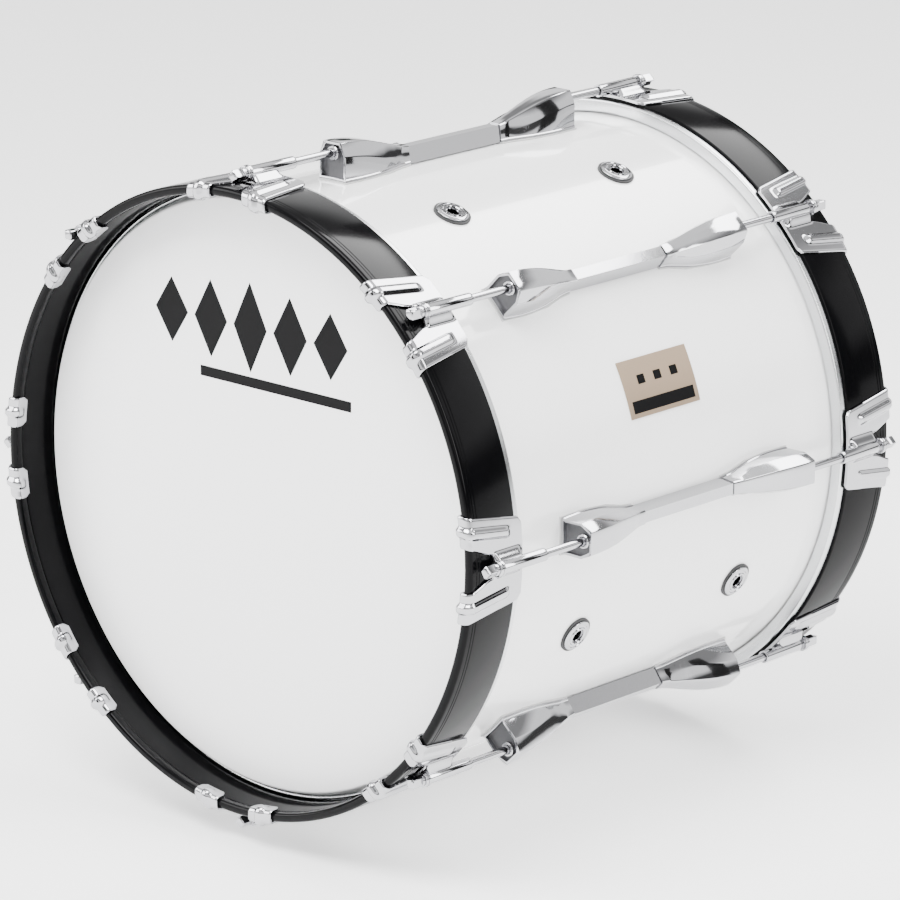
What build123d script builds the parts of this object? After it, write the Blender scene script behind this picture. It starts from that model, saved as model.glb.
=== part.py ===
from build123d import *
import math
import os

# Marching bass drum, 16 in across and 14 in deep.
# Frame: origin on the drum's axis at mid depth, +Y towards the rear head, +Z up, millimetres.

# ---------------------------------------------------------------- driving dimensions
LUGS = 8                    # tension positions on each head
STEP = 360.0 / LUGS         # angle between lugs, counted from the top towards +X

SHELL_R = 199.0             # outside of the shell
SHELL_WALL = 7.5
SHELL_HALF = 177.8          # half of the 14 in depth, to the crest of the bearing edge
CREST_R = 196.8             # radius of the bearing edge's crest

HOOP_R = 210.4              # outside of the wood hoop
HOOP_IN = 204.0
HOOP_FACE = 208.0           # distance of the hoop's lip face from mid depth
HOOP_BACK = 166.0           # distance of its edge that meets the flesh hoop

FILM = 0.5                  # head film
FLESH_R = 208.6
FLESH_IN = 199.6
FLESH_END = 160.5           # the flesh hoop's end that looks along the shell

ROD_AXIS = 217.5            # radius of the tension rods' axes
ROD_R = 2.75
ROD_END = 88.0              # inner end of the rod
PITCH = 1.058               # thread pitch, 24 threads to the inch
TURNS = 9                   # turns that bring a claw clear of the lip

GAP = 0.3                   # air between pieces that move past each other
PLATE = 1.8                 # claw plate

LUG_FOOT = 200.0            # underside of a lug, on its gasket
TUBE_HALF = 44.0            # half length of the bridge tube
LUG_END = 112.0             # end face of a lug housing

INSERT_ANGLES = (22.5, 112.5)   # from the top towards +X
INSERT_Y = 80.0
INSERT_THREAD_R = 4.0

BADGE_ANGLE = 67.5
BADGE_SIZE = (38.0, 67.5)   # round the shell, along the shell

Y_AXIS = Axis.Y


# ---------------------------------------------------------------- helpers
def save(shape, name):
    """Write one sub-part as its own STEP file, named after the node."""
    shape.label = name
    export_step(shape, f"parts/{name}.step")


def turned(shape, degrees):
    """Turn a piece round the drum's axis, from the top towards +X."""
    return Rot(0, degrees, 0) * shape


def front(shape):
    """The front copy of a piece that was made for the rear."""
    return Rot(0, 0, 180) * shape


def ring(*points):
    """Revolve a closed (radius, y) outline round the drum's axis."""
    outline = Polyline(*[(r, y) for r, y in points], close=True)
    return revolve(make_face(outline), axis=Y_AXIS)


def slab(points, low, high):
    """A vertical prism between two heights, from an (x, y) outline."""
    outline = Polyline(*points, close=True)
    return extrude(Pos(0, 0, low) * make_face(outline), high - low, dir=(0, 0, 1))


def tube_y(radius, y0, y1, height, x=0.0):
    """A cylinder along Y from y0 to y1, its axis at the given height."""
    return Pos(x, (y0 + y1) / 2, height) * Rot(90, 0, 0) * Cylinder(radius, y1 - y0)


def drum(radius, y0, y1):
    """A cylinder on the drum's axis."""
    return tube_y(radius, y0, y1, 0.0)


def post(radius, low, high, y):
    """A cylinder that stands on the shell at the top, between two radii."""
    return Pos(0, y, (low + high) / 2) * Cylinder(radius, high - low)


def group(shapes):
    return Compound(children=list(shapes))


# ---------------------------------------------------------------- shell and heads
def make_shell():
    inner = SHELL_R - SHELL_WALL
    edge = [(SHELL_R, SHELL_HALF - 3.5), (CREST_R + 1.6, SHELL_HALF - 1.0), (CREST_R, SHELL_HALF),
            (inner, SHELL_HALF - CREST_R + inner)]
    shell = ring(*edge, *[(r, -y) for r, y in reversed(edge)])
    holes = []
    for k in range(LUGS):
        for y in SCREW_Y:
            holes += [turned(post(2.7, 180, 210, side * y), STEP * k) for side in (-1, 1)]
    for angle in INSERT_ANGLES:
        holes += [turned(post(7.3, 180, 210, side * INSERT_Y), angle) for side in (-1, 1)]
    return shell - holes


def make_head():
    """Film with a collar that turns down over the bearing edge into the flesh hoop."""
    low = SHELL_HALF + 0.1
    return ring((0, low), (CREST_R + 0.1, low), (CREST_R + 1.8, low - 0.9), (SHELL_R + 0.3, low - 3.3),
                (SHELL_R + 1.4, low - 6.5), (SHELL_R + 1.4, 168.2), (SHELL_R + 1.4 + FILM, 168.2),
                (SHELL_R + 1.4 + FILM, low - 6.2), (SHELL_R + 0.8, low - 3.0),
                (CREST_R + 2.1, low - 0.3), (CREST_R + 0.3, low + FILM), (0, low + FILM))


def make_flesh_hoop():
    """Crimped ring: a wide rolled foot below the wood hoop and a lip inside it."""
    return ring((FLESH_IN, FLESH_END + 0.8), (FLESH_IN + 1.0, FLESH_END), (FLESH_R - 1.6, FLESH_END),
                (FLESH_R, FLESH_END + 1.6), (FLESH_R, HOOP_BACK - 0.3), (HOOP_IN - 0.4, HOOP_BACK - 0.3),
                (HOOP_IN - 0.4, 172.5), (SHELL_R + 2.2, 172.5), (SHELL_R + 2.2, 167.8),
                (FLESH_IN, 167.8))


def make_hoop():
    """Wood counter-hoop with a rounded lip and eased back edges."""
    hoop = ring((HOOP_IN, HOOP_BACK + 0.8), (HOOP_IN + 0.8, HOOP_BACK), (HOOP_R - 0.8, HOOP_BACK),
                (HOOP_R, HOOP_BACK + 0.8), (HOOP_R, HOOP_FACE), (HOOP_IN, HOOP_FACE))
    lip = hoop.edges().filter_by(GeomType.CIRCLE).group_by(Axis.Y)[-1]
    return fillet(lip, 2.4)


# ---------------------------------------------------------------- claws
ARM_FRONT = (14.5, 35.0)        # inner and outer edge of an arm at the lip
ARM_BACK = (7.5, 27.0)          # the same at the cut-out's floor and at the plate's end
CUT_FLOOR = 188.5               # where the cut-out between the arms ends
PLATE_END = 162.4
TUBE_R = 4.2
TUBE_BORE = ROD_R + GAP
TUBE_IN = 148.0


def hook_profile(grow):
    """Section of a claw arm's outside: over the hoop, round its face and up inside it."""
    face = HOOP_FACE + GAP + PLATE + grow
    top = HOOP_R + GAP + PLATE + grow
    low = HOOP_IN - GAP - PLATE
    skin = make_face(Polyline((PLATE_END, low), (face, low), (face, top), (PLATE_END, top), close=True))
    inner, outer = skin.vertices().group_by(Axis.X)[-1].sort_by(Axis.Y)
    skin = chamfer(inner, 2.4 + grow)
    return chamfer(skin.vertices().group_by(Axis.X)[-1].sort_by(Axis.Y)[-1], 2.4 + grow)


def hollow_profile():
    """Section of the room that the lip fills, open towards the shell below the finger."""
    low, high, face = HOOP_IN - GAP, HOOP_R + GAP, HOOP_FACE + GAP
    room = make_face(Polyline((150, low), (face, low), (face, high), (150, high), close=True))
    room = chamfer(room.vertices().group_by(Axis.X)[-1], 1.4)
    return room + Pos(170, low - 2.0) * Rectangle(60, 6)


def swept(profile, spread):
    section = Rot(0, -spread, 0) * (Plane.YZ * profile)
    return revolve(section, axis=Y_AXIS, revolution_arc=2 * spread)


def arm_outline():
    """Plan of the whole plate: two splayed arms joined by a bridge behind the cut-out."""
    inner, outer = ARM_FRONT
    inner_back, outer_back = ARM_BACK
    right = [(outer_back - 2.5, PLATE_END - 0.5), (outer_back, PLATE_END + 3.0), (outer, 212.0),
             (inner, 212.0), (inner_back + 1.0, CUT_FLOOR + 4.0), (inner_back - 2.0, CUT_FLOOR)]
    left = [(-x, y) for x, y in reversed(right)]
    return right + left


def rib_outline(side):
    """Plan of the raised rib along one arm, rounded off before the plate's end."""
    lip = sum(ARM_FRONT) / 2
    root = lip - 7.0
    points = [(lip - 4.2, 212.0), (lip + 4.2, 212.0), (root + 3.2, 176.0), (root + 1.6, 173.2),
              (root - 1.6, 173.2), (root - 3.2, 176.0)]
    return [(side * x, y) for x, y in points]


def make_claw():
    plate = swept(hook_profile(0.0), 10.0) & slab(arm_outline(), 190, 230)
    for side in (-1, 1):
        plate += swept(hook_profile(1.5), 10.0) & slab(rib_outline(side), 190, 230)
    plate -= swept(hollow_profile(), 12.0)
    top = HOOP_R + GAP + PLATE
    saddle = Polyline((-9.0, top - 0.9), (9.0, top - 0.9), (5.6, top + 0.9), (3.6, ROD_AXIS),
                      (-3.6, ROD_AXIS), (-5.6, top + 0.9), close=True)
    saddle = extrude(Plane.XZ * make_face(saddle), CUT_FLOOR - PLATE_END - 2.5, dir=(0, -1, 0))
    saddle = Pos(0, CUT_FLOOR - 1.0, 0) * saddle
    barrel = tube_y(TUBE_R, TUBE_IN, CUT_FLOOR, ROD_AXIS)
    return plate + saddle + barrel - tube_y(TUBE_BORE, 140, 200, ROD_AXIS)


# ---------------------------------------------------------------- tension rods
def make_rod():
    """Square key, flange and shank in one piece, with its loose washer."""
    seat = CUT_FLOOR + 0.1
    washer = tube_y(5.4, seat, seat + 1.6, ROD_AXIS) - tube_y(ROD_R + 0.05, 180, 200, ROD_AXIS)
    start = seat + 1.7
    shank = tube_y(ROD_R, ROD_END, start + 1.0, ROD_AXIS)
    flange = tube_y(5.1, start, start + 2.2, ROD_AXIS)
    collar = tube_y(4.0, start + 2.2, start + 4.4, ROD_AXIS)
    key = Pos(0, start + 9.6, ROD_AXIS) * Rot(0, 45, 0) * Box(6.2, 10.4, 6.2)
    key = chamfer(key.edges().group_by(Axis.Y)[-1], 0.7)
    return group([shank + flange + collar + key, washer])


# ---------------------------------------------------------------- lugs
# Stations of a housing: distance from mid depth, half width of the crown, crown height,
# half width at the shoulder, shoulder height, half width at the foot.
HOUSING = ((TUBE_HALF + 0.2, 4.2, 212.4, 5.4, 207.0, 6.2),
           (54.0, 4.6, 213.8, 6.2, 208.0, 7.4),
           (68.0, 5.6, 218.0, 10.0, 211.5, 11.0),
           (90.0, 6.8, 223.6, 12.2, 215.5, 12.6),
           (LUG_END, 7.4, 225.3, 11.8, 217.0, 12.1))
SCREW_Y = (62.0, 100.0)
SCREW_R = 2.4
NUT_R = 4.6
NUT_SPAN = (92.0, 110.4)


def housing_section(station, inset=0.0):
    y, crown, top, shoulder, middle, foot = station
    points = [(foot - inset, 196.0), (shoulder - inset, middle), (crown - inset, top - inset)]
    points += [(-x, z) for x, z in reversed(points)]
    outline = Polyline(*[(x, y, z) for x, z in points], close=True)
    return make_face(outline)


def make_housing():
    body = loft([housing_section(s) for s in HOUSING])
    body -= drum(LUG_FOOT, 0, 150)
    recess = extrude(housing_section(HOUSING[-1], 1.7), 2.6, both=True)
    body -= recess - drum(LUG_FOOT + 1.6, 0, 150)
    body -= tube_y(NUT_R + 0.1, NUT_SPAN[0] - 0.1, 120, ROD_AXIS)
    body -= tube_y(ROD_R + 0.5, ROD_END - 2.0, 120, ROD_AXIS)
    for y in SCREW_Y:
        body -= post(SCREW_R + 0.05, 190, 209, y)
    return body


def make_bridge():
    section = Polyline((5.7, 198.0), (3.7, 211.5), (-3.7, 211.5), (-5.7, 198.0), close=True)
    bar = extrude(Plane.XZ * make_face(section), TUBE_HALF, both=True)
    return bar - drum(LUG_FOOT, -100, 100)


def make_gasket():
    """Thin strip under one housing, a little wider than its foot."""
    edge = [(s[5] + 0.6, s[0]) for s in HOUSING]
    edge[-1] = (edge[-1][0], LUG_END + 0.6)
    outline = edge + [(-x, y) for x, y in reversed(edge)]
    sheet = slab(outline, 190, 215) & (drum(LUG_FOOT - 0.05, 0, 150) - drum(SHELL_R + 0.05, 0, 150))
    for y in SCREW_Y:
        sheet -= post(2.8, 190, 215, y)
    return sheet


def make_nut():
    """Swivel nut: a round barrel, threaded for the rod, with a collar at its mouth."""
    barrel = tube_y(NUT_R, *NUT_SPAN, ROD_AXIS)
    return barrel - tube_y(ROD_R + 0.06, 80, 120, ROD_AXIS)


def make_screw(y):
    """Lug screw and its washer, from inside the shell."""
    inside = SHELL_R - SHELL_WALL
    washer = post(6.0, inside - 1.7, inside - 0.2, y) - post(SCREW_R + 0.05, 180, 200, y)
    head = post(4.4, inside - 5.3, inside - 1.8, y)
    return [head + post(SCREW_R, inside - 2.5, 208.5, y), washer]


def everywhere(pieces):
    """Copies of pieces made for the rear top position, at every lug on both sides."""
    copies = []
    for k in range(LUGS):
        for piece in pieces:
            copies += [turned(piece, STEP * k), turned(front(piece), STEP * k)]
    return group(copies)


# ---------------------------------------------------------------- carrier inserts and badge
def make_insert():
    """Threaded bush with a domed flange outside the shell."""
    flange = post(11.0, SHELL_R + 1.2, SHELL_R + 3.2, 0)
    flange = chamfer(flange.edges().group_by(Axis.Z)[-1], 0.8)
    bush = post(7.0, SHELL_R - SHELL_WALL - 8.0, SHELL_R + 1.6, 0)
    mouth = post(5.0, SHELL_R + 1.7, SHELL_R + 5.0, 0)
    return flange + bush - post(INSERT_THREAD_R, 170, 210, 0) - mouth


def make_insert_gasket():
    pad = post(12.5, 190, SHELL_R + 1.1, 0) - drum(SHELL_R + 0.02, -50, 50)
    return pad - post(7.1, 180, 220, 0)


def make_insert_nut():
    """Hexagonal nut that clamps the bush from inside."""
    low = SHELL_R - SHELL_WALL - 5.5
    nut = Pos(0, 0, low) * extrude(RegularPolygon(11.0, 6), 5.0)
    return nut - post(7.05, 170, 210, 0)


def at_inserts(piece):
    places = [(angle, side) for angle in INSERT_ANGLES for side in (-1, 1)]
    return group([turned(Pos(0, side * INSERT_Y, 0) * piece, angle) for angle, side in places])


def make_badge():
    """Thin metal plate, bent to the shell."""
    around, along = BADGE_SIZE
    plate = slab([(-around / 2, -along / 2), (around / 2, -along / 2), (around / 2, along / 2),
                  (-around / 2, along / 2)], 190, 210)
    skin = drum(SHELL_R + 0.75, -60, 60) - drum(SHELL_R + 0.02, -60, 60)
    return turned(fillet((plate & skin).edges().filter_by(Axis.Z), 1.0), BADGE_ANGLE)


# ---------------------------------------------------------------- write every node
def main():
    os.makedirs("parts", exist_ok=True)
    save(make_shell(), "shell")
    for name, piece in (("head", make_head()), ("flesh_hoop", make_flesh_hoop()),
                        ("wood_hoop", make_hoop())):
        save(piece, f"rear_{name}")
        save(front(piece), f"front_{name}")

    claw = make_claw()
    rod = make_rod()
    housing = make_housing()
    for k in range(LUGS):
        angle = STEP * k
        save(turned(claw, angle), f"rear_claw_{k + 1}")
        save(turned(front(claw), angle), f"front_claw_{k + 1}")
        save(turned(rod, angle), f"rear_rod_{k + 1}")
        save(turned(front(rod), angle), f"front_rod_{k + 1}")
        save(turned(group([housing, front(housing)]), angle), f"lug_{k + 1}")

    save(group([turned(make_bridge(), STEP * k) for k in range(LUGS)]), "lug_bridges")
    save(everywhere([make_gasket()]), "lug_gaskets")
    save(everywhere([make_nut()]), "swivel_nuts")
    save(everywhere(make_screw(SCREW_Y[0]) + make_screw(SCREW_Y[1])), "lug_screws")
    save(at_inserts(make_insert()), "carrier_inserts")
    save(at_inserts(make_insert_gasket()), "insert_gaskets")
    save(at_inserts(make_insert_nut()), "insert_nuts")
    save(make_badge(), "badge")


main()
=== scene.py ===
import bpy
import math
import numpy as np
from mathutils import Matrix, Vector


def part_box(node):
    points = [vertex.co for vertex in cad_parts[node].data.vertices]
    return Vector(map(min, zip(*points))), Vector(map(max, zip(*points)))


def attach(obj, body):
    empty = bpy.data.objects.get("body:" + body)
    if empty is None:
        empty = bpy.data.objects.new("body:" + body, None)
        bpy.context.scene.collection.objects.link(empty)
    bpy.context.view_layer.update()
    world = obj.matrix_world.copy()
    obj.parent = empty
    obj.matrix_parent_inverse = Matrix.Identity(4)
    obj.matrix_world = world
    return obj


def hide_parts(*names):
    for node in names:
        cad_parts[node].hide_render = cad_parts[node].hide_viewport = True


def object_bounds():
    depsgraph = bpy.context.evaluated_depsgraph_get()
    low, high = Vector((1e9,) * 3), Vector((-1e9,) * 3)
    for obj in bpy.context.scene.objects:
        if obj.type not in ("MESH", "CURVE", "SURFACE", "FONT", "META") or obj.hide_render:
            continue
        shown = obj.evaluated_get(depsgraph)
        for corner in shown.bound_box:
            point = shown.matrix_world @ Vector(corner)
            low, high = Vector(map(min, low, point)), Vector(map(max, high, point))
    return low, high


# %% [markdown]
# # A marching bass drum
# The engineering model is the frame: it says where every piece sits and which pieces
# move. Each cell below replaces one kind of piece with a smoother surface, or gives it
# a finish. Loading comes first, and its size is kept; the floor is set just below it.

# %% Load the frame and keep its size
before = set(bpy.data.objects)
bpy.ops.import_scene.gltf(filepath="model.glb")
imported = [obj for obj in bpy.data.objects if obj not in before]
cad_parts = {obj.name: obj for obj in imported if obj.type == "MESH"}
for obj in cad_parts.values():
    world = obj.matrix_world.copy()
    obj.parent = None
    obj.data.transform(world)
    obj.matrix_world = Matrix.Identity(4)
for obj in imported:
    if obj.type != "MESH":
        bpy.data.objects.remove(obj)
start = [list(map(float, corner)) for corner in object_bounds()]
shell_low, shell_high = (np.array(c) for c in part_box("shell"))
hoop_low, hoop_high = (np.array(c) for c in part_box("rear_wood_hoop"))
SHELL_R = (shell_high[0] - shell_low[0]) / 2
HOOP_R = (hoop_high[0] - hoop_low[0]) / 2
HOOP_FACE = hoop_high[1]
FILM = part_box("rear_head")[1][1]
MM = 0.001
ROD_AXIS = 217.5   # millimetres from the drum's axis to every tension rod
LUGS = 8
print("shell radius", round(SHELL_R, 4), "hoop radius", round(HOOP_R, 4), "film at", round(FILM, 4))

# %% [markdown]
# ## Building blocks
# Almost every piece here is a grid: a function of two parameters gives a point, and
# neighbouring points are joined by quads. One helper turns such a grid into a mesh. A
# second one turns pieces round the drum, because a drum repeats everything eight times.

# %% Grid helper
def quads(rows, columns, wrap_rows=False, wrap_columns=False):
    """Indices of the quads between neighbouring points of a rows by columns grid."""
    i = np.arange(rows if wrap_rows else rows - 1)[:, None]
    j = np.arange(columns if wrap_columns else columns - 1)[None, :]
    i2, j2 = (i + 1) % rows, (j + 1) % columns
    corners = [i * columns + j, i2 * columns + j, i2 * columns + j2, i * columns + j2]
    return np.stack([np.broadcast_to(c, (i.size, j.size)) for c in corners], -1).reshape(-1, 4)


def solid(name, parts, material, body, smooth=40):
    """One object from several (points, faces) pairs, made consistent and given its body."""
    points, faces, count = [], [], 0
    for p, f in parts:
        points.append(np.asarray(p).reshape(-1, 3))
        faces += [tuple(int(v) + count for v in face) for face in f]
        count += len(points[-1])
    mesh = bpy.data.meshes.new(name)
    mesh.from_pydata(np.concatenate(points), [], faces)
    mesh.validate()
    obj = bpy.data.objects.new(name, mesh)
    bpy.context.scene.collection.objects.link(obj)
    bpy.ops.object.select_all(action="DESELECT")
    obj.select_set(True)
    bpy.context.view_layer.objects.active = obj
    bpy.ops.object.mode_set(mode="EDIT")
    bpy.ops.mesh.select_all(action="SELECT")
    bpy.ops.mesh.remove_doubles(threshold=1e-6)
    bpy.ops.mesh.normals_make_consistent(inside=False)
    bpy.ops.object.mode_set(mode="OBJECT")
    bpy.ops.object.shade_smooth_by_angle(angle=math.radians(smooth))
    mesh.materials.append(material)
    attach(obj, body)
    return obj


def lathe(outline, count=192, axis_r=0.0):
    """Turn a closed (radius, y) outline in millimetres round an axis along Y.

    A point sits at radius r and angle t: x = r sin t, z = axis height + r cos t."""
    outline = np.array(outline, float) * MM
    t = np.linspace(0, 2 * math.pi, count, endpoint=False)[:, None]
    r, y = outline[None, :, 0], outline[None, :, 1]
    p = np.stack([r * np.sin(t), y + 0 * t, axis_r * MM + r * np.cos(t)], -1)
    return p, quads(count, len(outline), True, True)


def arc(cx, cy, r, a0, a1, n=7):
    """Points of an arc, angles in degrees, for rounding an outline's corner."""
    a = np.radians(np.linspace(a0, a1, n))
    return [(cx + r * math.cos(v), cy + r * math.sin(v)) for v in a]


def place(points, position, rear):
    """Move a piece made for the rear top to its position: half a turn for the front, then round the drum."""
    p = np.array(points, float)
    if not rear:
        p = p * np.array([-1.0, -1.0, 1.0])
    a = math.radians(360.0 / LUGS * position)
    x, z = p[..., 0].copy(), p[..., 2].copy()
    p[..., 0] = x * math.cos(a) + z * math.sin(a)
    p[..., 2] = z * math.cos(a) - x * math.sin(a)
    return p


SIDES = (("front", False), ("rear", True))
print(LUGS, "positions,", 2 * LUGS, "claws")

# %% [markdown]
# ## Finishes
# A polished metal isn't one grey: its roughness drifts a little and the surface has fine
# waves. Each finish mixes noise of two sizes into its roughness, its bump and slightly
# into its colour. Object coordinates keep the pattern fixed to the piece.

# %% Finish helper
def finish(name, color, metal, rough, spread=0.05, tint=0.05, grain=400.0, bump=0.02, coat=0.0,
           stretch=(1, 1, 1), shine=0.5):
    """A principled material whose colour, roughness and bump follow two noises."""
    m = bpy.data.materials.new(name)
    m.use_nodes = True
    n, l = m.node_tree.nodes, m.node_tree.links
    p = n["Principled BSDF"]
    c = n.new("ShaderNodeTexCoord")
    mp = n.new("ShaderNodeMapping")
    mp.inputs["Scale"].default_value = stretch
    l.new(c.outputs["Object"], mp.inputs["Vector"])
    big, small = n.new("ShaderNodeTexNoise"), n.new("ShaderNodeTexNoise")
    big.inputs["Scale"].default_value, small.inputs["Scale"].default_value = 14.0, grain
    big.inputs["Detail"].default_value, small.inputs["Detail"].default_value = 4.0, 6.0
    for t in (big, small):
        l.new(mp.outputs["Vector"], t.inputs["Vector"])
    ramp = n.new("ShaderNodeMapRange")
    ramp.inputs["To Min"].default_value = max(0.01, rough - spread)
    ramp.inputs["To Max"].default_value = rough + spread
    l.new(big.outputs["Fac"], ramp.inputs["Value"])
    l.new(ramp.outputs["Result"], p.inputs["Roughness"])
    mix = n.new("ShaderNodeMix")
    mix.data_type = "RGBA"
    mix.inputs["A"].default_value = (*[v * (1 - tint) for v in color], 1)
    mix.inputs["B"].default_value = (*[min(1, v * (1 + tint)) for v in color], 1)
    l.new(small.outputs["Fac"], mix.inputs["Factor"])
    l.new(mix.outputs["Result"], p.inputs["Base Color"])
    b = n.new("ShaderNodeBump")
    b.inputs["Strength"].default_value = bump
    b.inputs["Distance"].default_value = 0.0005
    l.new(small.outputs["Fac"], b.inputs["Height"])
    l.new(b.outputs["Normal"], p.inputs["Normal"])
    p.inputs["Metallic"].default_value = metal
    p.inputs["Coat Weight"].default_value = coat
    p.inputs["Coat Roughness"].default_value = 0.04
    p.inputs["Specular IOR Level"].default_value = shine
    return m


# %% [markdown]
# A finish is named after the real surface, so the numbers can be judged against it; only the recess floor's
# dark colour is painted shade, not a surface.
# Chrome is a darker metal than one expects: it looks bright because it reflects bright
# things. Lacquer is a plain colour under a clear coat.

# %% Make the finishes
CHROME = finish("chrome", (0.44, 0.44, 0.455), 1.0, 0.075, 0.025, 0.02, 260, 0.015)
SATIN = finish("rolled aluminium", (0.62, 0.63, 0.64), 1.0, 0.24, 0.06, 0.04, 500, 0.05, stretch=(1, 6, 1))
WHITE = finish("white lacquer", (0.90, 0.90, 0.90), 0.0, 0.16, 0.04, 0.006, 120, 0.01, coat=0.7)
BLACK = finish("black lacquer", (0.0015, 0.0015, 0.0018), 0.0, 0.12, 0.03, 0.3, 160, 0.01, shine=0.08)
SKIN = finish("drum film", (0.93, 0.93, 0.935), 0.0, 0.34, 0.05, 0.004, 700, 0.02)
STRIP = finish("lug strip", (0.50, 0.50, 0.50), 0.0, 0.5, 0.1, 0.1, 900, 0.1)
RUBBER = finish("gasket rubber", (0.025, 0.025, 0.026), 0.0, 0.62, 0.1, 0.3, 900, 0.15)
STEEL = finish("zinc steel", (0.55, 0.55, 0.57), 1.0, 0.32, 0.08, 0.06, 500, 0.05)
BRONZE = finish("badge bronze", (0.36, 0.27, 0.19), 0.6, 0.30, 0.05, 0.08, 600, 0.05, stretch=(1, 8, 1))
INK = finish("black print", (0.0015, 0.0015, 0.0018), 0.0, 0.45, 0.05, 0.3, 600, 0.02, shine=0.08)
# Painted shade: the lug mouth's recess floor is a rougher metal, and its very dark colour stands in for the
# shade that falls in the recess.
RECESS_SHADE = finish("painted recess shade", (0.09, 0.09, 0.095), 0.8, 0.42, 0.1, 0.1, 500, 0.1)
print(len(bpy.data.materials), "materials")

# %% [markdown]
# ## Pieces that keep their frame shape
# Some pieces are plain turned or cut shapes already. They only get a finish.

# %% Finish the kept pieces
kept = {"shell": WHITE, "lug_gaskets": STRIP, "insert_gaskets": RUBBER, "swivel_nuts": STEEL,
        "lug_screws": STEEL, "insert_nuts": STEEL, "lug_bridges": CHROME}
for node, material in kept.items():
    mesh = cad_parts[node].data
    mesh.materials.clear()
    mesh.materials.append(material)
print("kept", len(kept))

# %% [markdown]
# ## Heads and flesh hoops
# A head is a film pulled over the bearing edge. Turning one outline round the axis makes
# it: flat in the middle, then a collar that bends down into its metal ring. The outline is
# thick everywhere so that the film has a back. The ring is turned the same way, with a
# rolled foot that shows below the wood hoop.

# %% Turn the heads
for side, rear in SIDES:
    top = FILM / MM
    crown = arc(196.6, top - 2.2, 2.2, 90, 30)
    skirt = [(200.0, top - 4.6), (200.9, top - 7.0), (200.9, 168.2), (200.4, 168.2), (200.4, top - 7.1),
             (199.4, top - 4.4)]
    under = [(198.3, top - 1.7), (197.3, top - 0.75), (196.6, top - 0.48)]
    outline = [(0.5, top), (60, top), (120, top), (170, top), *crown, *skirt, *under, (60, top - 0.48),
               (0.5, top - 0.48)]
    p, f = lathe(outline, 256)
    disc = [tuple(np.arange(256) * len(outline)), tuple(np.arange(256) * len(outline) + len(outline) - 1)]
    keep = [q for q in f if not {int(v) % len(outline) for v in q} == {0, len(outline) - 1}]
    head = solid(f"{side}_drum_head", [(place(p, 0, rear), keep + disc)], SKIN, "drum")
    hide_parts(f"{side}_head")
print("heads made")

# %% [markdown]
# The flesh hoop is rolled from one strip, so its section is a foot, a step and a lip
# with rounded bends. Turning the outline is simpler than bending a strip in Blender,
# and it gives one closed ring.

# %% Turn the flesh hoops
for side, rear in SIDES:
    foot = [*arc(207.3, 161.8, 1.3, 0, -90, 6), *arc(201.0, 161.9, 1.4, -90, -180, 6)]
    outline = [(208.6, 165.6), *foot, (199.6, 167.6), (201.2, 167.9), (201.2, 172.2),
               *arc(202.4, 172.0, 1.1, 170, 10, 7), (203.5, 165.7)]
    ring = solid(f"{side}_flesh_ring", [(place(lathe(outline, 256)[0], 0, rear), lathe(outline, 256)[1])],
                 SATIN, "drum")
    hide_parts(f"{side}_flesh_hoop")
print("flesh hoops made")

# %% [markdown]
# ## Wood hoops
# The hoop is a bent strip of ply with a rounded lip. Two fine beads run round near the
# lip: they catch the light as thin lines, so the outline has small grooves there.

# %% Turn the wood hoops
def bead(r, y, depth=0.35, width=0.5):
    """A small round groove in the outside, as outline points going towards +y."""
    return [(r, y - width), (r - depth * 0.7, y - width * 0.5), (r - depth, y),
            (r - depth * 0.7, y + width * 0.5), (r, y + width)]


for side, rear in SIDES:
    R, F = HOOP_R / MM, HOOP_FACE / MM
    outline = [*arc(204.8, 166.8, 0.8, 180, 270, 4), *arc(R - 0.8, 166.8, 0.8, 270, 360, 4),
               *bead(R, F - 8.0), *bead(R, F - 5.6), *arc(R - 2.4, F - 2.4, 2.4, 0, 90, 8),
               *arc(206.4, F - 2.4, 2.4, 90, 180, 8), (204.0, F - 6.0), (204.3, F - 6.4), (204.0, F - 6.8)]
    p, f = lathe(outline, 256)
    hoop = solid(f"{side}_hoop", [(place(p, 0, rear), f)], BLACK, "drum")
    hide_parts(f"{side}_wood_hoop")
print("hoops made")

# %% [markdown]
# ## Claws
# A claw is one stamped plate. Think of a strip that is laid on the hoop from the shell
# side, bends over the lip and turns up inside it. One parameter runs along that path, the
# other runs across. Across, the plate is split in columns: left arm, middle, right arm.
# The middle's faces are left out beyond the cut-out, which leaves the two arms. Ribs and
# the saddle for the barrel are heights added along the surface's outward direction.

# %% Path of the plate over the lip
def claw_path():
    """Points and outward directions (radius, y) along the plate's middle, millimetres."""
    mid, inner, face = 211.6, 202.8, 209.2
    along = np.concatenate([np.linspace(162.6, 188, 24), np.linspace(189, 205.8, 16)])
    flat = [(mid, y, 1.0, 0.0) for y in along]
    bend = [(mid - 3.2 + 3.2 * math.cos(a), face - 3.2 + 3.2 * math.sin(a), math.cos(a), math.sin(a))
            for a in np.radians(np.linspace(4, 86, 10))]
    down = [(r, face, 0.0, 1.0) for r in np.linspace(208.0, 205.6, 3)]
    turn = [(inner + 2.4 + 2.4 * math.cos(a), face - 2.4 + 2.4 * math.sin(a), math.cos(a), math.sin(a))
            for a in np.radians(np.linspace(94, 176, 9))]
    back = [(inner, y, -1.0, 0.0) for y in np.linspace(206.0, 200.4, 6)]
    return np.array(flat + bend + down + turn + back)


path = claw_path()
length = np.concatenate([[0], np.cumsum(np.hypot(*np.diff(path[:, :2], axis=0).T))])
print("claw path", round(float(length[-1]), 1), "mm")


# %% [markdown]
# Each point of the plate is found from its distance along the path and its place
# across. Heights for rib, saddle and rolled edge are added along the outward direction.
# A second copy, a plate's thickness lower, gives the back.

# %% Surface of the plate
def ease(t):
    """Rises smoothly from 0 to 1."""
    t = np.clip(t, 0, 1)
    return t * t * (3 - 2 * t)


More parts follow.
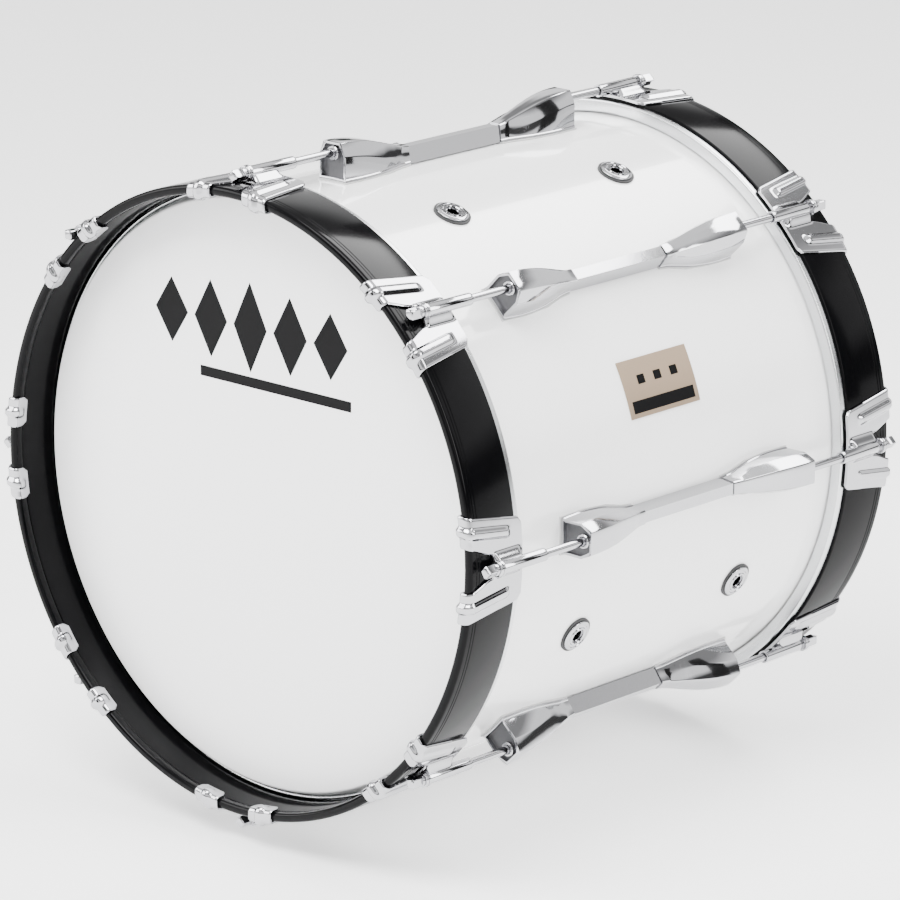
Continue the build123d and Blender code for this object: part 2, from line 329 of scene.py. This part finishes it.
def claw_surface(lift):
    """Grid of one side of the plate. lift is the distance from its middle surface.

    Across, x runs to the outer edge, which flares from 27 to 35 mm. Each edge rolls
    in a little, and the rib is a smooth ridge along the middle of the arm."""
    s = length[:, None]
    y_like = np.minimum(162.6 + s, 212.0)
    t = (y_like - 162.6) / 49.4
    outer = 27.0 + 8.0 * t - 3.0 * (1 - ease(s / 3.5)) ** 2 - 2.0 * ease((s - length[-1] + 4) / 4) ** 2
    inner = 7.5 + 7.0 * ease((y_like - 188.5) / 23.5) + 0.0 * s
    inner = inner + 2.0 * ease((s - length[-1] + 4) / 4) ** 2
    u = np.concatenate([np.linspace(-1, 0, 37), np.linspace(0, 1, 19)[1:-1], np.linspace(1, 2, 37)])
    left = -outer + (outer - inner) * (u + 1)
    middle = -inner + 2 * inner * u
    right = inner + (outer - inner) * (u - 1)
    x = np.where(u <= 0, left, np.where(u < 1, middle, right))
    arm = np.abs(x)
    rib_mid = 17.75 + 7.0 * t
    rib = 1.9 * (1 - ease((np.abs(arm - rib_mid) - 1.2) / 3.2)) * ease((y_like - 172.5) / 5.0)
    fade = 1 - ease((s - length[-1] + 5.0) / 3.0)
    edge = np.minimum(outer - arm, np.where(y_like > 188.5, arm - inner, 9.0))
    roll = 0.55 * (1 - ease(edge / 0.9)) * (1 if lift > 0 else -0.2)
    saddle = 4.6 * (1 - ease((arm - 2.6) / 7.4)) * ease(s / 5.0) * (1 - ease((y_like - 187.4) / 2.0))
    height = lift + rib * fade - roll + saddle * (y_like < 190)
    rho = path[:, 0][:, None] + height * path[:, 2][:, None]
    y = path[:, 1][:, None] + height * path[:, 3][:, None]
    z = np.sqrt(rho ** 2 - x ** 2)
    return np.stack([x, y + 0 * x, z], -1) * MM, u, y_like[:, 0]


def claw_mesh():
    """Both skins of the plate and the strips that close it along every free edge."""
    top, u, along = claw_surface(0.9)
    low, _, _ = claw_surface(-0.9)
    rows, cols = top.shape[:2]
    grid = quads(rows, cols)
    centre_u = (u[grid[:, 0] % cols] + u[grid[:, 2] % cols]) / 2
    centre_s = along[grid[:, 0] // cols]
    grid = grid[~((centre_u > 0) & (centre_u < 1) & (centre_s >= 188.4))]
    edges = np.concatenate([grid[:, [k, (k + 1) % 4]] for k in range(4)])
    key = np.sort(edges, axis=1)
    _, index, count = np.unique(key, axis=0, return_index=True, return_counts=True)
    free = edges[index[count == 1]]
    n = rows * cols
    faces = [tuple(f) for f in grid] + [tuple(f[::-1] + n) for f in grid]
    faces += [(a, b, b + n, a + n) for a, b in free]
    used = np.unique(np.array([v for f in faces for v in f]))
    points = np.concatenate([top.reshape(-1, 3), low.reshape(-1, 3)])[used]
    lookup = np.zeros(2 * n, int)
    lookup[used] = np.arange(len(used))
    return points, [tuple(lookup[list(f)]) for f in faces]


# %% [markdown]
# The barrel that guides the rod is a short tube, so it's turned about its own axis.
# The plate and the barrel are computed once. Each claw is then a turned copy of their
# points, which keeps every object at the origin.

# %% Barrel and all sixteen claws
barrel_outline = [(3.05, 148.4), *arc(3.9, 148.4, 0.3, 250, 350, 4), (4.2, 150.0), (4.2, 187.9),
                  (3.9, 188.45), (3.05, 188.45)]
barrel = lathe(barrel_outline, 40, ROD_AXIS)
plate = claw_mesh()
for side, rear in SIDES:
    for k in range(LUGS):
        name = f"{side}_claw_{k + 1}"
        parts = [(place(plate[0], k, rear), plate[1]), (place(barrel[0], k, rear), barrel[1])]
        claw = solid(name + "_plate", parts, CHROME, name + "_body", 50)
        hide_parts(name)
print("claw faces", len(plate[1]))

# %% [markdown]
# ## Tension rods
# A rod is a turned bar with a flange, a collar and a square key for the drum key. The turned
# part is a lathe outline. The square is four columns of points whose end is drawn in, which
# makes the small bevel.

# %% Rod outline, washer and key
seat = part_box("rear_rod_1")[1][1] / MM - 14.8 - 1.7
rod_outline = [(0.2, 88.2), (2.3, 88.2), (2.75, 88.8), (2.75, seat + 1.7), (4.7, seat + 1.7),
               *arc(4.7, seat + 2.1, 0.4, -80, 0, 4), *arc(4.7, seat + 3.5, 0.4, 0, 80, 4),
               (4.0, seat + 3.9), (4.0, seat + 5.6), (3.6, seat + 6.0), (0.2, seat + 6.0)]
washer_outline = [(2.85, seat), (5.1, seat), (5.4, seat + 0.3), (5.4, seat + 1.3), (5.1, seat + 1.6),
                  (2.85, seat + 1.6)]
TURNED = lathe(rod_outline, 40, ROD_AXIS)
WASHER = lathe(washer_outline, 40, ROD_AXIS)


def key_block():
    """Square prism on its corner with a bevelled end: rows along Y, four rounded corners across."""
    half = 3.1
    rows = [(seat + 5.8, half - 0.1), (seat + 6.0, half), (seat + 14.0, half), (seat + 14.6, half - 0.5),
            (seat + 14.8, half - 0.9)]
    corner = np.array([(1, 0.86), (0.86, 1), (-0.86, 1), (-1, 0.86),
                       (-1, -0.86), (-0.86, -1), (0.86, -1), (1, -0.86)])
    a = math.radians(45)
    turn = np.array([[math.cos(a), math.sin(a)], [-math.sin(a), math.cos(a)]])
    p = np.array([[(x, y, z + ROD_AXIS) for x, z in (corner * h) @ turn] for y, h in rows]) * MM
    caps = [tuple(range(8)), tuple(range(32, 40))]
    return p, [tuple(f) for f in quads(5, 8, False, True)] + caps


KEY = key_block()
for side, rear in SIDES:
    for k in range(LUGS):
        name = f"{side}_rod_{k + 1}"
        parts = [(place(p, k, rear), f) for p, f in (TURNED, WASHER, KEY)]
        rod = solid(name + "_turned", parts, CHROME, name + "_body", 35)
        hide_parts(name)
print("rods seated at", round(seat, 2), "mm")

# %% [markdown]
# ## Lug housings
# A housing grows from the slim bridge tube to a broad mouth. Its section is a house shape:
# straight sides, bevelled shoulders, flat crown. The stations give that section's sizes
# along the drum, and a smooth curve joins them. At the mouth, three more rows turn the
# surface inward: a rim, a recess wall and a floor.

# %% Housing surface
STATION = np.array([44.3, 50.0, 60.0, 72.0, 84.0, 96.0, 106.0, 111.7])
CROWN = np.array([3.9, 3.9, 4.7, 5.8, 6.6, 7.1, 7.3, 7.4])
TOP = np.array([212.2, 212.9, 215.6, 219.1, 222.2, 224.3, 225.2, 225.3])
SIDE = np.array([5.4, 5.6, 7.3, 9.8, 11.4, 12.2, 12.1, 11.8])
SIDE_TOP = np.array([207.4, 207.6, 208.4, 210.4, 213.2, 215.6, 216.8, 217.0])
FOOT = np.array([6.2, 6.5, 8.5, 11.1, 12.5, 12.9, 12.5, 12.1])


def smooth_curve(y, values):
    """Cubic through the stations, with slopes taken from their neighbours."""
    slope = np.gradient(values, STATION)
    i = np.clip(np.searchsorted(STATION, y) - 1, 0, len(STATION) - 2)
    h = STATION[i + 1] - STATION[i]
    t = (y - STATION[i]) / h
    return ((1 + 2 * t) * (1 - t) ** 2 * values[i] + t * (1 - t) ** 2 * h * slope[i]
            + t * t * (3 - 2 * t) * values[i + 1] - t * t * (1 - t) * h * slope[i + 1])


def housing_mesh():
    """Rows along the drum, a closed house-shaped section across, then rim, wall and floor."""
    y = np.concatenate([np.linspace(44.3, 111.4, 60), [111.7, 111.7, 108.6, 108.5]])
    inset = np.concatenate([np.zeros(60), [0.35, 1.7, 1.9, 4.0]])
    yc = np.minimum(y, 111.7)
    crown, top, side, middle, foot = (smooth_curve(yc, v) for v in (CROWN, TOP, SIDE, SIDE_TOP, FOOT))
    low = 200.15 + inset * 0.8
    base = np.sqrt(low ** 2 - (foot * 0.97) ** 2)
    lip = base + 1.3
    right = [(foot - inset, base), (foot - inset, lip), (foot - inset - 0.5, lip + 0.5),
             (side - inset, middle - 1.2), (side - inset - 0.4, middle),
             (crown - inset + 0.9, top - inset - 1.0), (crown - inset + 0.3, top - inset - 0.25),
             (crown - inset - 0.5, top - inset), (crown * 0.3, top - inset)]
    points = [(0 * y, low)] + right
    loop = points + [(-x, z) for x, z in reversed(right)]
    p = np.stack([np.stack([x, y, z], -1) for x, z in loop], 1) * MM
    n = p.shape[1]
    rows = len(y)
    caps = [tuple(range(n)), tuple(range((rows - 1) * n, rows * n))]
    return p, [tuple(f) for f in quads(rows, n, False, True)] + caps


housing = housing_mesh()
nut_ring = lathe([(2.9, 108.9), (2.9, 111.2), (3.4, 111.8), (4.5, 111.8), (4.9, 111.3), (4.9, 108.9)],
                 36, ROD_AXIS)
for k in range(LUGS):
    parts = []
    for side, rear in SIDES:
        parts += [(place(housing[0], k, rear), housing[1]), (place(nut_ring[0], k, rear), nut_ring[1])]
    lug = solid(f"lug_housing_{k + 1}", parts, CHROME, "drum", 32)
    # The recess floor faces get the dark second material, which is painted shade for the inside of the mouth.
    lug.data.materials.append(RECESS_SHADE)
    for face in lug.data.polygons:
        if abs(face.normal.y) > 0.9 and 0.1083 < abs(face.center.y) < 0.1087:
            face.material_index = 1
    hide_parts(f"lug_{k + 1}")
print("lug faces", len(housing[1]))

# %% [markdown]
# ## Inserts, badge and print
# Inserts are little turned bushes that stand on the shell. The badge is a thin plate bent
# to the shell, with a darker band along one edge. The print on the head is a plain row of
# lozenges above a bar.

# %% Inserts
insert_outline = [(4.1, 192.5), (6.9, 192.5), (6.9, 200.25), (10.6, 200.25),
                  *arc(10.5, 200.9, 0.5, -60, 60, 5), (9.4, 202.0), (8.6, 202.0), (8.3, 201.6),
                  (7.0, 201.6), (6.6, 202.2), (5.4, 202.2), (5.0, 201.8), (5.0, 200.7), (4.1, 200.6)]
turned_insert = np.array(lathe(insert_outline, 48)[0])
upright = np.stack([turned_insert[..., 0], turned_insert[..., 2], turned_insert[..., 1]], -1)
parts = []
for angle in (22.5, 112.5):
    for y in (-0.08, 0.08):
        parts.append((place(upright + np.array([0, y, 0]), angle / 45.0, True), lathe(insert_outline, 48)[1]))
inserts = solid("insert_bushes", parts, CHROME, "drum")
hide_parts("carrier_inserts")
print("inserts made")


# %% [markdown]
# A badge is a flat plate bent to the shell. Its angle round the drum is one parameter
# and its place along the drum is the other. The marks on it are the same kind of plate,
# only smaller and thinner.

# %% Bent plates for the badge
def bent_plate(half_around, y0, y1, low, high, angle, middle=0.0):
    """Closed plate on the shell: angle across, y along, two skins and a rim, in millimetres."""
    a = np.linspace(-half_around, half_around, 25)[:, None] / 199.0 + math.radians(angle) + middle / 199.0
    y = np.linspace(y0, y1, 9)[None, :]
    skins = [np.stack([r * np.sin(a) + 0 * y, y + 0 * a, r * np.cos(a) + 0 * y], -1) * MM
             for r in (high, low)]
    n = a.size * y.size
    grid = quads(a.size, y.size)
    edges = np.concatenate([grid[:, [k, (k + 1) % 4]] for k in range(4)])
    _, index, count = np.unique(np.sort(edges, axis=1), axis=0, return_index=True, return_counts=True)
    free = edges[index[count == 1]]
    faces = [tuple(f) for f in grid] + [tuple(f[::-1] + n) for f in grid]
    return np.stack(skins), faces + [(p, q, q + n, p + n) for p, q in free]


badge = solid("badge_plate", [bent_plate(19.0, -33.7, 33.7, 199.08, 199.75, 67.5)], BRONZE, "drum", 30)
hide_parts("badge")
band = solid("badge_band", [bent_plate(4.0, -30.0, 30.0, 199.74, 199.82, 67.5, 12.0)], INK, "drum", 30)
diamonds = solid("badge_lozenge", [bent_plate(3.0, y - 3.5, y + 3.5, 199.74, 199.82, 67.5, -5.0)
                                   for y in (-16.0, 0.0, 16.0)], INK, "drum", 30)
print("badge made")


# %% [markdown]
# The print is a very thin layer of ink. Each mark is a closed prism a tenth of a
# millimetre thick, just in front of the film, so that it has real edges and no flicker.

# %% Print on the front head
def flat_print(corners):
    """A thin closed prism on the front head from (x, z) corners in millimetres."""
    c = np.array(corners, float) * MM
    n = len(c)
    front_y, back_y = -FILM - 0.00012, -FILM - 0.00002
    p = np.concatenate([np.stack([c[:, 0], 0 * c[:, 0] + y, c[:, 1]], -1) for y in (front_y, back_y)])
    sides = [(i, (i + 1) % n, (i + 1) % n + n, i + n) for i in range(n)]
    return p, [tuple(range(n)), tuple(range(2 * n - 1, n - 1, -1))] + sides


lozenges = [[(x - 15, 112), (x, 112 + h), (x + 15, 112), (x, 112 - h)]
            for x, h in ((-82, 22), (-46, 26), (-10, 30), (26, 26), (62, 22))]
marks = [flat_print(c) for c in lozenges] + [flat_print([(-56, 72), (80, 72), (80, 79), (-56, 79)])]
emblem = solid("head_print", marks, INK, "drum", 30)
print("marks", len(marks))

# %% [markdown]
# ## Floor, light and camera
# A pale floor and large soft lamps suit polished metal: chrome shows what is round it, so
# long bright panels give long clean streaks. The camera stands far away with a long lens,
# which keeps the drum's ellipses nearly parallel.

# %% Floor and backdrop
stage_color = finish("studio floor", (0.94, 0.94, 0.94), 0.0, 0.7, 0.05, 0.01, 60, 0.01)
glow = stage_color.node_tree.nodes["Principled BSDF"]
glow.inputs["Emission Color"].default_value = (1, 1, 1, 1)
glow.inputs["Emission Strength"].default_value = 0.7
bpy.ops.mesh.primitive_plane_add(size=14, location=(0, 0, start[0][2] - 0.004))
floor = bpy.context.object
floor.name = "studio_floor"
floor.data.materials.append(stage_color)

# %% [markdown]
# Each lamp is a soft rectangle that faces the drum. It's placed by two angles and a
# distance, which is easier to adjust by eye than three coordinates.

# %% Lamps
def lamp(name, azimuth, elevation, distance, size, power):
    """A square area lamp that looks at the drum's centre."""
    a, e = math.radians(azimuth), math.radians(elevation)
    data = bpy.data.lights.new(name, "AREA")
    data.shape, data.size, data.size_y, data.energy = "RECTANGLE", size[0], size[1], power
    obj = bpy.data.objects.new(name, data)
    bpy.context.scene.collection.objects.link(obj)
    back = np.array([math.sin(a) * math.cos(e), -math.cos(a) * math.cos(e), math.sin(e)])
    obj.location = back * distance
    obj.rotation_euler = (math.pi / 2 - e, 0, a)
    obj.visible_camera = False


lamp("key", 10, 58, 2.2, (1.6, 1.0), 95)
lamp("side", 100, 28, 2.4, (0.7, 1.8), 45)
lamp("fill", -50, 22, 2.6, (1.2, 1.6), 55)
lamp("back", 170, 50, 2.4, (1.8, 0.7), 55)

# %% [markdown]
# Chrome needs something dark to reflect as well. The sky is therefore banded: dark low
# down, bright in the middle, greyer towards the top. A few tall dark cards, far outside
# the picture, add upright streaks.

# %% Banded sky and dark cards
world = bpy.data.worlds.new("studio")
bpy.context.scene.world = world
world.use_nodes = True
nodes, links = world.node_tree.nodes, world.node_tree.links
coord, split = nodes.new("ShaderNodeTexCoord"), nodes.new("ShaderNodeSeparateXYZ")
to_unit, bands = nodes.new("ShaderNodeMapRange"), nodes.new("ShaderNodeValToRGB")
to_unit.inputs["From Min"].default_value = -1.0
links.new(coord.outputs["Generated"], split.inputs["Vector"])
links.new(split.outputs["Z"], to_unit.inputs["Value"])
links.new(to_unit.outputs["Result"], bands.inputs["Fac"])
links.new(bands.outputs["Color"], nodes["Background"].inputs["Color"])
levels = ((0.0, 0.9), (0.5, 0.9), (0.515, 0.05), (0.57, 0.05), (0.62, 1.0), (0.72, 1.0), (0.78, 0.25),
          (0.84, 0.25), (0.92, 1.0))
while len(bands.color_ramp.elements) < len(levels):
    bands.color_ramp.elements.new(0.5)
for element, (place_on_ramp, grey) in zip(bands.color_ramp.elements, levels):
    element.position = place_on_ramp
    element.color = (grey, grey, grey, 1)
nodes["Background"].inputs["Strength"].default_value = 2.0
card_color = finish("dark card", (0.02, 0.02, 0.02), 0.0, 0.8, 0.1, 0.2, 40, 0.05, shine=0.1)
for azimuth in (-75, -15, 75, 125, 200):
    a = math.radians(azimuth)
    bpy.ops.mesh.primitive_plane_add(size=1, location=(6.4 * math.sin(a), -6.4 * math.cos(a), 2.2),
                                     rotation=(math.pi / 2, 0, a))
    card = bpy.context.object
    card.name = f"dark_card_{azimuth + 360}"
    card.scale = (1.3, 5.0, 1.0)
    card.visible_camera = False
    card.data.materials.append(card_color)

# %% [markdown]
# The camera looks along the line from its place to the drum's centre. A long lens from
# far away shows the hoops as nearly equal ellipses, as in a product picture.

# %% Camera at the drum's three-quarter view
camera = bpy.data.objects.new("camera", bpy.data.cameras.new("camera"))
bpy.context.scene.collection.objects.link(camera)
camera.data.lens, camera.data.sensor_width = 211.0, 36.0
camera.location = (2.319, -2.504, 0.973)
camera.rotation_mode = "XYZ"
camera.rotation_euler = (math.radians(90 - 16.0), 0, math.radians(42.8))
camera.data.clip_start, camera.data.clip_end = 0.1, 60.0
bpy.context.scene.camera = camera
print("camera", round(math.dist(camera.location, (0, 0, 0)), 3), "m from the drum's centre")
